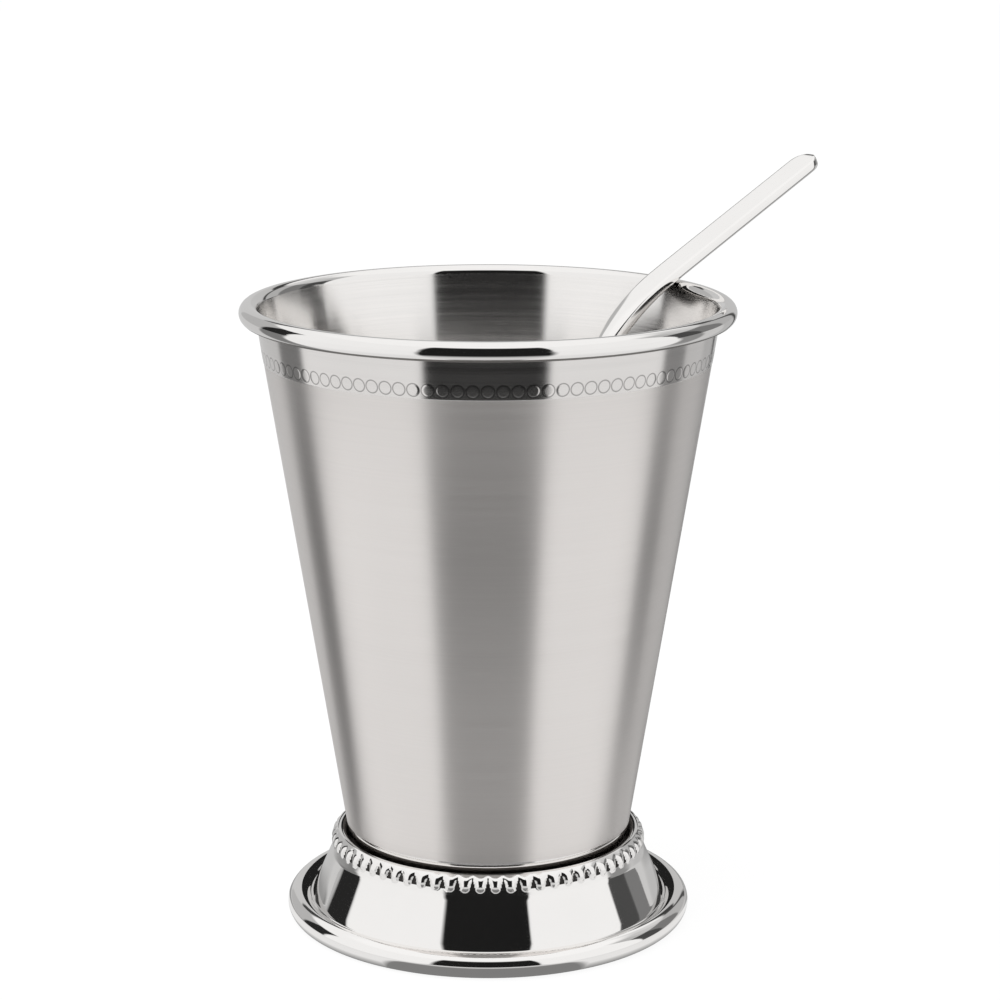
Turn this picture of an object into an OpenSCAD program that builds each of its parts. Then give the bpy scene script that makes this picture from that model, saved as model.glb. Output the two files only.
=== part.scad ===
// Footed metal julep cup with a rolled rim, a pearl band and a beaded foot, and a long spoon standing in it.
// Millimetres, +Z up. The origin is on the cup's axis, in the plane of the table that the foot stands on.

/* [Cup] */
// Height from the table to the top of the rolled rim
cup_h = 108; // [95:1:125]
// Outer radius of the wall where it turns out into the rim
mouth_r = 39.2; // [36:0.1:44]
// Outer radius of the tapered wall, carried down to the underside of the floor
heel_r = 23.9; // [21:0.1:27]
// Thickness of the cup's sheet
wall_t = 0.6; // [0.5:0.05:0.9]
// Radius of the rolled rim's section
rim_roll_r = 1.65; // [1.4:0.05:2.2]
// Gap left between the wall and the free edge of the rolled rim
rim_edge_gap = 0.2; // [0.1:0.05:0.3]
// Outer radius of the bend between the floor and the wall
heel_bend_r = 5; // [2:0.25:6]

/* [Pearl band] */
// Number of pearls pressed out of the wall
pearl_count = 100; // [60:1:104]
// Diameter of one pearl on the wall
pearl_d = 2.1; // [1.4:0.1:2.2]
// Height of a pearl above the wall
pearl_rise = 0.25; // [0.15:0.05:0.4]
// Distance from the top of the rim down to the middle of the pearls
pearl_drop = 8.4; // [6:0.1:14]

/* [Foot] */
// Thickness of the foot's sheet
foot_t = 0.65; // [0.5:0.05:0.75]
// Height of the foot's lip above the table
foot_h = 15.2; // [14:0.1:20]
// Height of the underside of the cup's floor above the table
floor_lift = 11.5; // [10:0.1:12]
// Width of the groove between the wall and the foot's lip
groove_w = 0.55; // [0.4:0.05:1.2]
// Outer radius of the fold that makes the lip
lip_fold_r = 0.8; // [0.8:0.05:1.2]
// Slope of the neck below the lip, from the vertical
neck_flare = 15; // [10:1:35]
// How far the neck runs down below the middle of the lip's fold
neck_drop = 3.2; // [3:0.1:5]
// Radius of the hollow between the neck and the cone
neck_bend_r = 4; // [2:0.5:8]
// How far the base ring stands out beyond the lip
foot_spread = 8.6; // [7.5:0.1:14]
// Radius of the base ring's section
base_roll_r = 2.15; // [1.8:0.05:2.6]
// Depth of the flat that the foot stands on, ground into the base ring
base_flat = 0.15; // [0.05:0.01:0.25]
// Inner radius of the seat under the cup's floor
seat_bore_r = 15; // [10:0.5:17]
// Inner radius of the bend between the seat and the wall of the recess
seat_bend_r = 1.2; // [0.5:0.1:1.4]
// Thickness of the solder between the floor and the seat
solder_t = 0.2; // [0.1:0.05:0.4]

/* [Bead collar] */
// Number of long beads round the foot's neck
drop_count = 66; // [40:1:70]
// Thickness of the collar's band
collar_t = 0.3; // [0.2:0.05:0.5]
// Height of the collar along the slope of the neck
collar_h = 2.9; // [2.6:0.1:3.2]
// Width of one long bead
drop_w = 1.7; // [1.2:0.1:2]
// Length of one long bead
drop_l = 2.7; // [2.2:0.1:2.9]
// Height of a long bead above the neck
drop_rise = 0.5; // [0.4:0.05:0.8]

/* [Spoon] */
// Direction in which the handle leans out, from +X
lean_dir = 36; // [0:1:359]
// Slope of the handle outside the cup, from the horizontal
handle_slope = 28.5; // [20:0.5:40]
// Slope of the neck inside the cup, from the horizontal
neck_slope = 66; // [60:0.5:70]
// Radius of the bend between handle and neck, at its centre line
bend_r = 40; // [30:1:45]
// Length of the handle beyond the point that rests on the rim
handle_reach = 38.6; // [25:0.1:50]
// Length of straight handle inside that point, before the bend
bend_setback = 1; // [0.5:0.1:3]
// Width of the handle
handle_w = 6; // [4:0.1:8]
// Thickness of the handle
handle_t = 1.9; // [1.2:0.1:3]
// Width of the neck
neck_w = 4.2; // [3:0.1:6]
// Thickness of the neck
neck_t = 2.6; // [1.6:0.1:3]
// Length of the bowl
bowl_l = 42; // [30:1:46]
// Width of the bowl
bowl_w = 24; // [16:1:28]
// Depth of the bowl
bowl_depth = 5; // [3:0.25:6]
// Thickness of the bowl's sheet
bowl_t = 1; // [0.7:0.1:1.4]
// Clearance between the spoon and the cup that it rests in
rest_gap = 0.3; // [0.2:0.05:0.5]

/* [Hidden] */

// Fineness of round shapes: revolved pieces, small balls
round_fn = 96;
ball_fn = 16;
// How far a pearl is sunk into its sheet, and how far cuts run over
sink = 0.05;
over = 1;
// How far each bend turns past its end, into the straight sheet that it joins, in degrees
lap = 1.5;

// Cup: taper of the wall, the rim's roll and the heel
roll_z = cup_h - rim_roll_r;
taper = atan((mouth_r - heel_r) / (roll_z - floor_lift));
function wall_r(z) = heel_r + (z - floor_lift) * tan(taper);
roll_c = [wall_r(roll_z) + (rim_roll_r - wall_t) / cos(taper), roll_z];
heel_c = [wall_r(floor_lift + heel_bend_r) - heel_bend_r / cos(taper), floor_lift + heel_bend_r];
inward = 180 - taper;
edge_angle = acos((rim_roll_r - wall_t - rim_edge_gap) / rim_roll_r);
floor_top = floor_lift + wall_t;

// Foot: the lip, the neck, the cone and the base ring
lip_z = foot_h - lip_fold_r;
recess_r = wall_r(lip_z) + groove_w;
lip_c = [recess_r + lip_fold_r, lip_z];
base_c = [lip_c[0] + lip_fold_r + foot_spread - base_roll_r, base_roll_r - base_flat];
neck_top = lip_c + lip_fold_r * polar(neck_flare);
neck_end = [neck_top[0] + (neck_top[1] - lip_z + neck_drop) * tan(neck_flare), lip_z - neck_drop];
cone_end = [base_c[0] - base_roll_r + foot_t, base_c[1]];
cone_flare = atan((cone_end[0] - neck_end[0]) / (neck_end[1] - cone_end[1]));
neck_bend_c = neck_end
    + neck_bend_r / cos((cone_flare - neck_flare) / 2) * polar((neck_flare + cone_flare) / 2);
seat_z = floor_lift - solder_t;
base_slit = 35;

// Spoon: the point on its centre line over the rim, the ends of its bend, and its lengths
rim_point = roll_c + (rim_roll_r + rest_gap + handle_t / 2) * polar(90 + handle_slope);
bend_top = rim_point - bend_setback * polar(handle_slope);
bend_low = bend_top - bend_r * [sin(neck_slope) - sin(handle_slope), cos(handle_slope) - cos(neck_slope)];
tip_z = floor_top + rest_gap + bowl_t / 2;
neck_l = (bend_low[1] - tip_z) / sin(neck_slope) - bowl_l;
handle_l = handle_reach + bend_setback;
bend_l = bend_r * (neck_slope - handle_slope) * PI / 180;
spoon_l = handle_l + bend_l + neck_l + bowl_l;

// A unit step in the direction of an angle
function polar(a) = [cos(a), sin(a)];
// A smooth step from 0 to 1 as x goes from a to b
function ease(x, a, b) = let (k = min(max((x - a) / (b - a), 0), 1)) k * k * (3 - 2 * k);
function mix(a, b, k) = a + (b - a) * k;

// Profile pieces, drawn with the radius along X and the height along Y

// A stretch of sheet whose outer face runs from p to q, with its thickness on the left
module sheet_run(p, q, t) {
    n = [p[1] - q[1], q[0] - p[0]] / norm(q - p) * t;
    polygon([p, q, q + n, p + n]);
}

// A bend of sheet about c, of outer radius r, from angle a0 to angle a1
module sheet_bend(c, r, t, a0, a1) {
    steps = 9;
    intersection() {
        translate(c) difference() {
            circle(r, $fn = round_fn);
            circle(r - t, $fn = round_fn);
        }
        translate(c) polygon(concat([[0, 0]],
            [for (k = [0 : steps]) 2 * r * polar(mix(a0 - lap, a1 + lap, k / steps))]));
    }
}

module revolved() {
    rotate_extrude($fn = round_fn) children();
}

// The drawn cup: floor, heel, tapered wall and the rim rolled outwards and back under

module cup_profile() {
    translate([0, floor_lift]) square([heel_c[0], wall_t]);
    sheet_bend(heel_c, heel_bend_r, wall_t, -90, -taper);
    sheet_run(heel_c + heel_bend_r * polar(-taper), roll_c + (rim_roll_r - wall_t) * polar(inward), wall_t);
    sheet_bend(roll_c, rim_roll_r, wall_t, inward - 360 + edge_angle, inward);
}

// A pearl is the cap of a ball: the ball's radius, and the height of its middle
pearl_ball_r = (pow(pearl_d / 2, 2) + pow(pearl_rise, 2)) / (2 * pearl_rise);
pearl_z = cup_h - pearl_drop;

// The space inside the wall's outer face, less the depth that a pearl is sunk
module wall_core() {
    low = pearl_z - 2 * pearl_ball_r;
    high = pearl_z + 2 * pearl_ball_r;
    translate([0, 0, low]) cylinder(h = high - low, r1 = wall_r(low) - sink, r2 = wall_r(high) - sink,
        $fn = round_fn);
}

module pearl() {
    c = [wall_r(pearl_z), pearl_z] + (pearl_ball_r - pearl_rise) * polar(inward);
    difference() {
        translate([c[0], 0, c[1]]) sphere(pearl_ball_r, $fn = 2 * ball_fn);
        wall_core();
    }
}

module cup_body() {
    color("silver") {
        revolved() cup_profile();
        for (i = [0 : pearl_count - 1]) rotate(i * 360 / pearl_count) pearl();
    }
}

// The spun foot: seat, recess, folded lip, neck, cone and the base ring rolled outwards

module foot_profile() {
    recess_bend = [recess_r - seat_bend_r, seat_z + seat_bend_r];
    translate([seat_bore_r, seat_z - foot_t]) square([recess_bend[0] - seat_bore_r, foot_t]);
    sheet_bend(recess_bend, seat_bend_r + foot_t, foot_t, -90, 0);
    translate([recess_r, recess_bend[1]]) square([foot_t, lip_z - recess_bend[1]]);
    sheet_bend(lip_c, lip_fold_r, foot_t, neck_flare, 180);
    sheet_run(neck_end, neck_top, foot_t);
    sheet_bend(neck_bend_c, neck_bend_r + foot_t, foot_t, 180 + neck_flare, 180 + cone_flare);
    sheet_run(cone_end, neck_end, foot_t);
    sheet_bend(base_c, base_roll_r, foot_t, base_slit - 180, 180);
}

module foot() {
    color("gainsboro") difference() {
        revolved() foot_profile();
        translate([0, 0, -over]) cylinder(h = over, r = base_c[0] + base_roll_r + over, $fn = round_fn);
    }
}

// The beaded collar that is wrapped round the neck under the lip

// The neck's own surface, as a solid that the collar is cut to fit
module neck_core() {
    low = neck_top[1] - 2 * collar_h;
    high = neck_top[1] + collar_h;
    translate([0, 0, low]) cylinder(h = high - low, r1 = neck_top[0] + (neck_top[1] - low) * tan(neck_flare),
        r2 = neck_top[0] + (neck_top[1] - high) * tan(neck_flare), $fn = round_fn);
}

// One long bead lying down the slope, as a round bar with ball ends
module long_bead() {
    r = drop_w / 2;
    margin = (collar_h - drop_l) / 2;
    top = neck_top + (margin + r) * polar(neck_flare - 90) + (drop_rise - r) * polar(neck_flare);
    translate([top[0], 0, top[1]]) rotate([0, 180 - neck_flare, 0]) {
        sphere(r, $fn = ball_fn);
        cylinder(h = drop_l - 2 * r, r = r, $fn = ball_fn);
        translate([0, 0, drop_l - 2 * r]) sphere(r, $fn = ball_fn);
    }
}

module bead_collar() {
    color("whitesmoke") {
        revolved() sheet_run(neck_top, neck_top + collar_h * polar(neck_flare - 90), collar_t);
        difference() {
            for (i = [0 : drop_count - 1]) rotate(i * 360 / drop_count) long_bead();
            neck_core();
        }
    }
}

// The solder that joins the cup's floor to the seat

module seat_solder() {
    color("darkgray") translate([0, 0, seat_z]) difference() {
        cylinder(h = solder_t, r = heel_c[0], $fn = round_fn);
        translate([0, 0, -over]) cylinder(h = solder_t + 2 * over, r = seat_bore_r, $fn = round_fn);
    }
}

// The spoon: one piece, lofted along its centre line from the end of the handle to the tip of the bowl

// How far along the bowl a place on the centre line is, from 0 at the neck to 1 at the tip
function bowl_at(u) = max((u - spoon_l + bowl_l) / bowl_l, 0);

function slope_at(u) = mix(handle_slope, neck_slope, min(max((u - handle_l) / bend_l, 0), 1));

function centre_at(u) =
    u < handle_l ? rim_point + (handle_reach - u) * polar(handle_slope)
    : u < handle_l + bend_l ? bend_top - bend_r * [sin(slope_at(u)) - sin(handle_slope),
        cos(handle_slope) - cos(slope_at(u))]
    : bend_low - (u - handle_l - bend_l) * polar(neck_slope);

// Half width: a round end, the handle narrowing to the neck, then the egg-shaped bowl
widest_share = 0.56;
corner_share = 0.02;
function bar_half(u) = mix(handle_w, neck_w, ease(u, handle_reach, handle_l + bend_l)) / 2;
function end_half(u) = let (r = handle_w / 2) u < r ? sqrt(max(r * r - pow(r - u, 2), 0)) / r : 1;
function egg(k) = let (d = k < widest_share ? (widest_share - k) / widest_share
    : (k - widest_share) / (1 - widest_share)) sqrt(max(1 - d * d, 0));
function half_at(u) = let (k = bowl_at(u))
    max(pow(pow(bar_half(u) * end_half(u) * (1 - k), 4) + pow(bowl_w / 2 * egg(k), 4), 1 / 4),
        bowl_t * corner_share);

function thick_at(u) = let (k = bowl_at(u), rise = ease(u, handle_reach / 2, handle_l + bend_l))
    mix(mix(handle_t, neck_t, rise), bowl_t, ease(k, 0, widest_share)) * mix(end_half(u), 1, 1 / 2);
function depth_at(u) = 4 * bowl_depth * bowl_at(u) * (1 - bowl_at(u));

// Places along the centre line, closer together at the two round ends
end_steps = 5;
handle_steps = 4;
bend_steps = 9;
neck_steps = 4;
bowl_steps = 22;
places = concat(
    [for (k = [0 : end_steps - 1]) handle_w / 2 * (1 - cos(90 * (k + corner_share) / end_steps))],
    [for (k = [0 : handle_steps - 1]) mix(handle_w / 2, handle_l, k / handle_steps)],
    [for (k = [0 : bend_steps - 1]) handle_l + bend_l * k / bend_steps],
    [for (k = [0 : neck_steps - 1]) handle_l + bend_l + neck_l * k / neck_steps],
    [for (k = [0 : bowl_steps]) spoon_l - bowl_l * (1 + cos(180 * k / bowl_steps)) / 2]);

// A section at one place: a flattened ring of points, dished across the bowl
section_points = 24;
square_share = 0.7;
function flat(x) = sign(x) * pow(abs(x), square_share);
function section_at(u) = let (c = centre_at(u), up = polar(slope_at(u) + 90), half = half_at(u))
    [for (k = [0 : section_points - 1]) let (a = 360 * k / section_points, x = flat(cos(a)),
        lift = thick_at(u) / 2 * flat(sin(a)) - depth_at(u) * (1 - x * x), p = c + lift * up)
        [p[0], half * x, p[1]]];

module spoon() {
    rings = len(places);
    n = section_points;
    points = [for (u = places) each section_at(u)];
    sides = [for (i = [0 : rings - 2]) for (k = [0 : n - 1]) let (m = (k + 1) % n)
        each [[i * n + k, (i + 1) * n + m, i * n + m], [i * n + k, (i + 1) * n + k, (i + 1) * n + m]]];
    ends = [[for (k = [0 : n - 1]) k], [for (k = [n - 1 : -1 : 0]) (rings - 1) * n + k]];
    color("lightgray") rotate(lean_dir) polyhedron(points, concat(sides, ends));
}

cup_body();
foot();
bead_collar();
seat_solder();
spoon();
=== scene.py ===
"""Looks of a footed metal julep cup with a spoon standing in it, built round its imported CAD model."""
import logging
from dataclasses import dataclass
from enum import Enum
from math import acos, asin, atan, atan2, cos, degrees, hypot, pi, radians, sin, sqrt, tan
from typing import Callable, ClassVar

import bmesh
import bpy
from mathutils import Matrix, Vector


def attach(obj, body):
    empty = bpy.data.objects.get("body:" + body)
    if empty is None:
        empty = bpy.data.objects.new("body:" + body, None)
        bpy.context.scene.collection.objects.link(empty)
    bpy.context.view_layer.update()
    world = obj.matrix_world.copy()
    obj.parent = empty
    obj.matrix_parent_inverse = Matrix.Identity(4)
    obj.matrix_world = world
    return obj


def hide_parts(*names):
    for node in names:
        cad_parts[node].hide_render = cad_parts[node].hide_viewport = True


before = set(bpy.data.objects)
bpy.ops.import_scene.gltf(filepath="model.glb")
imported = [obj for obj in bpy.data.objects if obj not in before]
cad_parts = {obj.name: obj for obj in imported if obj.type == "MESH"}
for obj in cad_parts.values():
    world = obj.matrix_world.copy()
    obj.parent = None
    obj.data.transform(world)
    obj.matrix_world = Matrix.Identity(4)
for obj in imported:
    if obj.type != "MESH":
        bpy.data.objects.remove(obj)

LOG = logging.getLogger("julep_cup")
MERGE_GAP = 2e-6
POINT_SIZE = 0.001
Span = tuple[float, float]
Triple = tuple[float, float, float]
Colour = Triple
Piece = bpy.types.Object
Material = bpy.types.Material
Socket = bpy.types.NodeSocket
Inputs = dict[str | int, object]
WHITE: Colour = (1.0, 1.0, 1.0)


class Axis(Enum):
    """Directions that sections are drawn and turned about."""

    ACROSS = (0.0, 1.0, 0.0)
    UP = (0.0, 0.0, 1.0)


def polar(angle: float) -> Vector:
    """Return the unit step in the section plane at an angle, in degrees from outwards towards up."""
    return Vector((cos(radians(angle)), sin(radians(angle))))


def mix(low: float, high: float, share: float) -> float:
    """Return the value a share of the way from low to high."""
    return low + (high - low) * share


def ease(value: float, start: float, end: float) -> float:
    """Return a smooth step from 0 to 1 as value goes from start to end."""
    share = min(max((value - start) / (end - start), 0.0), 1.0)
    return share * share * (3.0 - 2.0 * share)


def deselect_all() -> None:
    """Leave edit mode and deselect every object."""
    if bpy.context.object and bpy.context.object.mode != "OBJECT":
        bpy.ops.object.mode_set(mode="OBJECT")
    bpy.ops.object.select_all(action="DESELECT")


def take_up(piece: Piece) -> None:
    """Make a piece the only selected and active object.

    Args:
        piece: The object.
    """
    deselect_all()
    piece.select_set(True)
    bpy.context.view_layer.objects.active = piece


def select_vertices(piece: Piece, numbers: set[int]) -> None:
    """Select, in edit mode, the vertices that have certain numbers.

    Args:
        piece: The object in edit mode.
        numbers: Numbers of the vertices.
    """
    bpy.ops.mesh.select_all(action="DESELECT")
    mesh = bmesh.from_edit_mesh(piece.data)
    for number, vertex in enumerate(mesh.verts):
        vertex.select_set(number in numbers)
    mesh.select_flush_mode()
    bmesh.update_edit_mesh(piece.data)


class ProfilePen:
    """Draws a section in the plane of X and Z, one extrusion or bend at a time."""

    def __init__(self, name: str, start: Vector) -> None:
        """Put the pen down.

        Args:
            name: Name of the piece that the section becomes.
            start: Distance from the axis and height of the first point.
        """
        deselect_all()
        bpy.ops.mesh.primitive_plane_add(size=POINT_SIZE, location=(start.x, 0.0, start.y))
        self.piece = bpy.context.active_object
        self.piece.name = self.piece.data.name = name
        bpy.ops.object.transform_apply(location=True, rotation=True, scale=True)
        bpy.ops.object.mode_set(mode="EDIT")
        bpy.context.tool_settings.mesh_select_mode = (True, False, False)
        bpy.ops.mesh.select_all(action="SELECT")
        bpy.ops.mesh.merge(type="CENTER")
        self.place = start.copy()

    def line_to(self, end: Vector, cuts: int = 1) -> None:
        """Draw a straight run.

        Args:
            end: Distance from the axis and height of the run's end.
            cuts: Number of equal lengths that the run is drawn in.
        """
        step = (end - self.place) / cuts
        for _ in range(cuts):
            bpy.ops.mesh.extrude_region_move(TRANSFORM_OT_translate={"value": (step.x, 0.0, step.y)})
        self.place = end.copy()

    def bend(self, centre: Vector, turn: float, steps: int) -> None:
        """Draw a round bend.

        Args:
            centre: Middle of the bend.
            turn: Angle in degrees, positive from outwards towards up.
            steps: Number of equal steps.
        """
        bpy.ops.mesh.spin(steps=steps, angle=radians(turn), center=(centre.x, 0.0, centre.y),
                          axis=Axis.ACROSS.value, use_auto_merge=False)
        arm = self.place - centre
        angle = atan2(arm.y, arm.x) + radians(turn)
        self.place = centre + arm.length * Vector((cos(angle), sin(angle)))


def sweep(steps: int, angle: float = 360.0, copies: bool = False) -> None:
    """Turn the mesh in edit mode about the upright axis, and merge what meets.

    Args:
        steps: Number of steps.
        angle: Angle to turn through, in degrees.
        copies: Whether each step leaves a copy of the mesh instead of a skin.
    """
    bpy.ops.mesh.select_all(action="SELECT")
    bpy.ops.mesh.spin(steps=steps, angle=radians(angle), center=(0.0, 0.0, 0.0), axis=Axis.UP.value,
                      dupli=copies, use_auto_merge=False)
    merge_seams()


def merge_seams() -> None:
    """Merge doubled vertices and turn all faces outwards."""
    bpy.ops.mesh.select_all(action="SELECT")
    bpy.ops.mesh.remove_doubles(threshold=MERGE_GAP)
    bpy.ops.mesh.select_all(action="SELECT")
    bpy.ops.mesh.normals_make_consistent(inside=False)


def off_middle(place: Vector, count: int, middle: float) -> float:
    """Measure how far round the axis a place is from the middle of its wedge.

    Args:
        place: The place.
        count: Number of wedges in the full turn.
        middle: Angle in radians of one wedge's middle.

    Returns:
        The distance, positive from +X towards +Y.
    """
    pitch = 2.0 * pi / count
    turn = atan2(place.y, place.x) - middle
    return place.to_2d().length * (turn - round(turn / pitch) * pitch)


def emboss(piece: Piece, out: Vector, rise_at: Callable[[Vector], float]) -> None:
    """Press a pattern out of a turned skin, vertex by vertex.

    Args:
        piece: The wedge in edit mode.
        out: The skin's outward step in the section plane.
        rise_at: Says how far the pattern stands out at a place.
    """
    places = [vertex.co.copy() for vertex in bmesh.from_edit_mesh(piece.data).verts]
    for number, place in enumerate(places):
        rise = rise_at(place)
        if rise > MERGE_GAP:
            side = place.to_2d().normalized() * out.x
            select_vertices(piece, {number})
            bpy.ops.transform.translate(value=(side.x * rise, side.y * rise, out.y * rise))


def face_out(piece: Piece) -> None:
    """Turn an open skin so that its outermost face looks away from the axis.

    Args:
        piece: The object in edit mode.
    """
    mesh = bmesh.from_edit_mesh(piece.data)
    outermost = max(mesh.faces, key=lambda f: f.calc_center_median().to_2d().length)
    if outermost.normal.dot(outermost.calc_center_median()) < 0.0:
        bpy.ops.mesh.select_all(action="SELECT")
        bpy.ops.mesh.flip_normals()


def turn_up(piece: Piece, angle: float) -> None:
    """Turn a finished piece about the upright axis and write the turn into its mesh.

    Args:
        piece: The object.
        angle: Angle in degrees from +X towards +Y.
    """
    take_up(piece)
    piece.rotation_euler = (0.0, 0.0, radians(angle))
    bpy.ops.object.transform_apply(location=True, rotation=True, scale=True)


def give_thickness(piece: Piece, thickness: float) -> None:
    """Give an open skin its sheet thickness, inwards from its outer face.

    Args:
        piece: The object.
        thickness: Thickness of the sheet.
    """
    take_up(piece)
    sheet = piece.modifiers.new("sheet", "SOLIDIFY")
    sheet.thickness = thickness
    sheet.offset = -1.0
    sheet.use_even_offset = True
    bpy.ops.object.modifier_apply(modifier=sheet.name)


def smooth(piece: Piece, angle: float) -> None:
    """Shade a piece smooth, except over edges sharper than an angle in degrees."""
    take_up(piece)
    bpy.ops.object.shade_smooth_by_angle(angle=radians(angle))


class NodeBench:
    """Adds and joins the nodes of one material or world."""

    GRAIN_ROUGHNESS: ClassVar[float] = 0.6

    def __init__(self, tree: bpy.types.NodeTree) -> None:
        """Clear a node tree and keep it at hand."""
        self.tree = tree
        tree.nodes.clear()

    def add(self, kind: str, inputs: Inputs | None = None, **settings: object) -> bpy.types.Node:
        """Add a shader node.

        Args:
            kind: Its type, without the leading ShaderNode.
            inputs: What its inputs are fed with, by name or number.
            settings: Values of its own properties.

        Returns:
            The node.
        """
        node = self.tree.nodes.new("ShaderNode" + kind)
        for name, value in settings.items():
            setattr(node, name, value)
        for name, value in (inputs or {}).items():
            self.feed(node.inputs[name], value)
        return node

    def feed(self, socket: Socket, value: object) -> None:
        """Join an output to a socket, or write a plain value on it.

        Args:
            socket: The socket of a node's input.
            value: The output or the value; a colour comes without its alpha.
        """
        if isinstance(value, Socket):
            self.tree.links.new(value, socket)
        else:
            socket.default_value = (*value, 1.0) if socket.type == "RGBA" else value

    def math(self, operation: str, *values: object) -> Socket:
        """Return the outcome of a Math node's operation on numbers and outputs, in order."""
        return self.add("Math", dict(enumerate(values)), operation=operation).outputs[0]

    def spread(self, value: Socket, source: Span, target: Span, eased: bool = False) -> Socket:
        """Return a value mapped from one range to another and clamped, with eased ends if wanted."""
        return self.add("MapRange", dict(enumerate((value, *source, *target))),
                        interpolation_type="SMOOTHSTEP" if eased else "LINEAR").outputs[0]

    def blend(self, share: object, low: object, high: object) -> Socket:
        """Mix two colours.

        Args:
            share: How much of the second colour there is.
            low: The first colour.
            high: The second colour.

        Returns:
            The mixed colour's output.
        """
        node = self.add("Mix", data_type="RGBA")
        for name, value in (("Factor_Float", share), ("A_Color", low), ("B_Color", high)):
            self.feed(next(s for s in node.inputs if s.identifier == name), value)
        return next(s for s in node.outputs if s.identifier == "Result_Color")

    def split(self, vector: Socket) -> list[Socket]:
        """Return the outputs of a vector's X, Y and Z."""
        return list(self.add("SeparateXYZ", {0: vector}).outputs)

    def place(self) -> Socket:
        """Return the output of the piece's own coordinates."""
        return self.add("TexCoord").outputs["Object"]

    def seen_in_metal(self) -> Socket:
        """Return an output that is 1 for rays that a glossy or clear surface sends on, and 0 for the rest."""
        rays = self.add("LightPath").outputs
        return self.math("MAXIMUM", rays["Is Glossy Ray"], rays["Is Transmission Ray"])

    def grain(self, scale: Triple, detail: float, offset: float = 0.0) -> Socket:
        """Lay a noise over the piece's own coordinates.

        Args:
            scale: Number of features in a metre along X, Y and Z.
            detail: Number of finer layers.
            offset: Shift that makes one noise differ from the next.

        Returns:
            The noise's output, from 0 to 1.
        """
        mapping = self.add("Mapping", {"Vector": self.place(), "Scale": scale, "Location": (offset,) * 3})
        return self.add("TexNoise", {"Vector": mapping.outputs[0], "Scale": 1.0, "Detail": detail,
                                     "Roughness": self.GRAIN_ROUGHNESS}).outputs[0]

    def bump(self, height: Socket, strength: float, depth: float) -> Socket:
        """Return the normal turned by a relief, from a height of 0 to 1 and its depth in metres."""
        return self.add("Bump", {"Strength": strength, "Distance": depth, "Height": height}).outputs[0]


def new_material(name: str) -> tuple[Material, NodeBench]:
    """Start a material.

    Args:
        name: Its name.

    Returns:
        The material, and the bench for its nodes.
    """
    material = bpy.data.materials.new(name)
    material.use_nodes = True
    return material, NodeBench(material.node_tree)


@dataclass(frozen=True)
class Finish:
    """The look of a metal."""

    name: str
    colour: Colour

    def make(self) -> Material:
        """Make the finish.

        Returns:
            A new material.
        """
        material, bench = new_material(self.name)
        shader = bench.add("BsdfPrincipled", {"Metallic": 1.0, **self._work(bench)})
        bench.add("OutputMaterial", {"Surface": shader.outputs[0]})
        return material

    def _toned(self, factor: float) -> Colour:
        """Return the colour times a factor, with no part above 1."""
        return tuple(min(part * factor, 1.0) for part in self.colour)

    def _work(self, bench: NodeBench) -> Inputs:
        """Lay out the nodes and return what they feed the shader with."""
        raise NotImplementedError


@dataclass(frozen=True)
class BrushedSteel(Finish):
    """Stainless steel brushed round the axis, so that its reflections are drawn out up and down."""

    FINE: ClassVar[Triple] = (14.0, 14.0, 5200.0)
    BROAD: ClassVar[Triple] = (9.0, 9.0, 900.0)
    STAIN: ClassVar[Triple] = (30.0, 30.0, 22.0)
    STAIN_SHARE: ClassVar[float] = 0.35
    CONTRAST: ClassVar[Span] = (0.3, 0.7)
    UNEVEN: ClassVar[float] = 0.03
    ROUND_THE_AXIS: ClassVar[float] = 0.25
    LINE_STRENGTH: ClassVar[float] = 0.5
    LINE_DEPTH: ClassVar[float] = 0.000004

    roughness: float
    stretch: float
    shade: float

    def _work(self, bench: NodeBench) -> Inputs:
        """Lay out the nodes of the finish.

        Args:
            bench: The material's nodes.

        Returns:
            What the shader is fed with.
        """
        fine = bench.grain(self.FINE, detail=3.0)
        broad = bench.grain(self.BROAD, detail=2.0, offset=3.7)
        stain = bench.grain(self.STAIN, detail=3.0, offset=8.1)
        streak = bench.math("MULTIPLY_ADD", fine, 0.5, bench.math("MULTIPLY", broad, 0.5))
        tone = bench.math("MULTIPLY_ADD", stain, self.STAIN_SHARE,
                          bench.math("MULTIPLY", streak, 1.0 - self.STAIN_SHARE))
        metal = bench.blend(bench.spread(tone, self.CONTRAST, (0.0, 1.0)),
                            self._toned(1.0 - self.shade), self._toned(1.0 + self.shade))
        roughness = (self.roughness - self.UNEVEN, self.roughness + self.UNEVEN)
        return {"Base Color": self._with_painted_shade(bench, metal),
                "Roughness": bench.spread(streak, self.CONTRAST, roughness),
                "Anisotropic": self.stretch,
                "Anisotropic Rotation": self.ROUND_THE_AXIS,
                "Tangent": bench.add("Tangent", direction_type="RADIAL", axis="Z").outputs[0],
                "Normal": bench.bump(streak, self.LINE_STRENGTH, self.LINE_DEPTH)}

    def _with_painted_shade(self, bench: NodeBench, metal: Socket) -> Socket:
        """Return the metal's colour with any painted shade; a plain wall has none."""
        return metal


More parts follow.
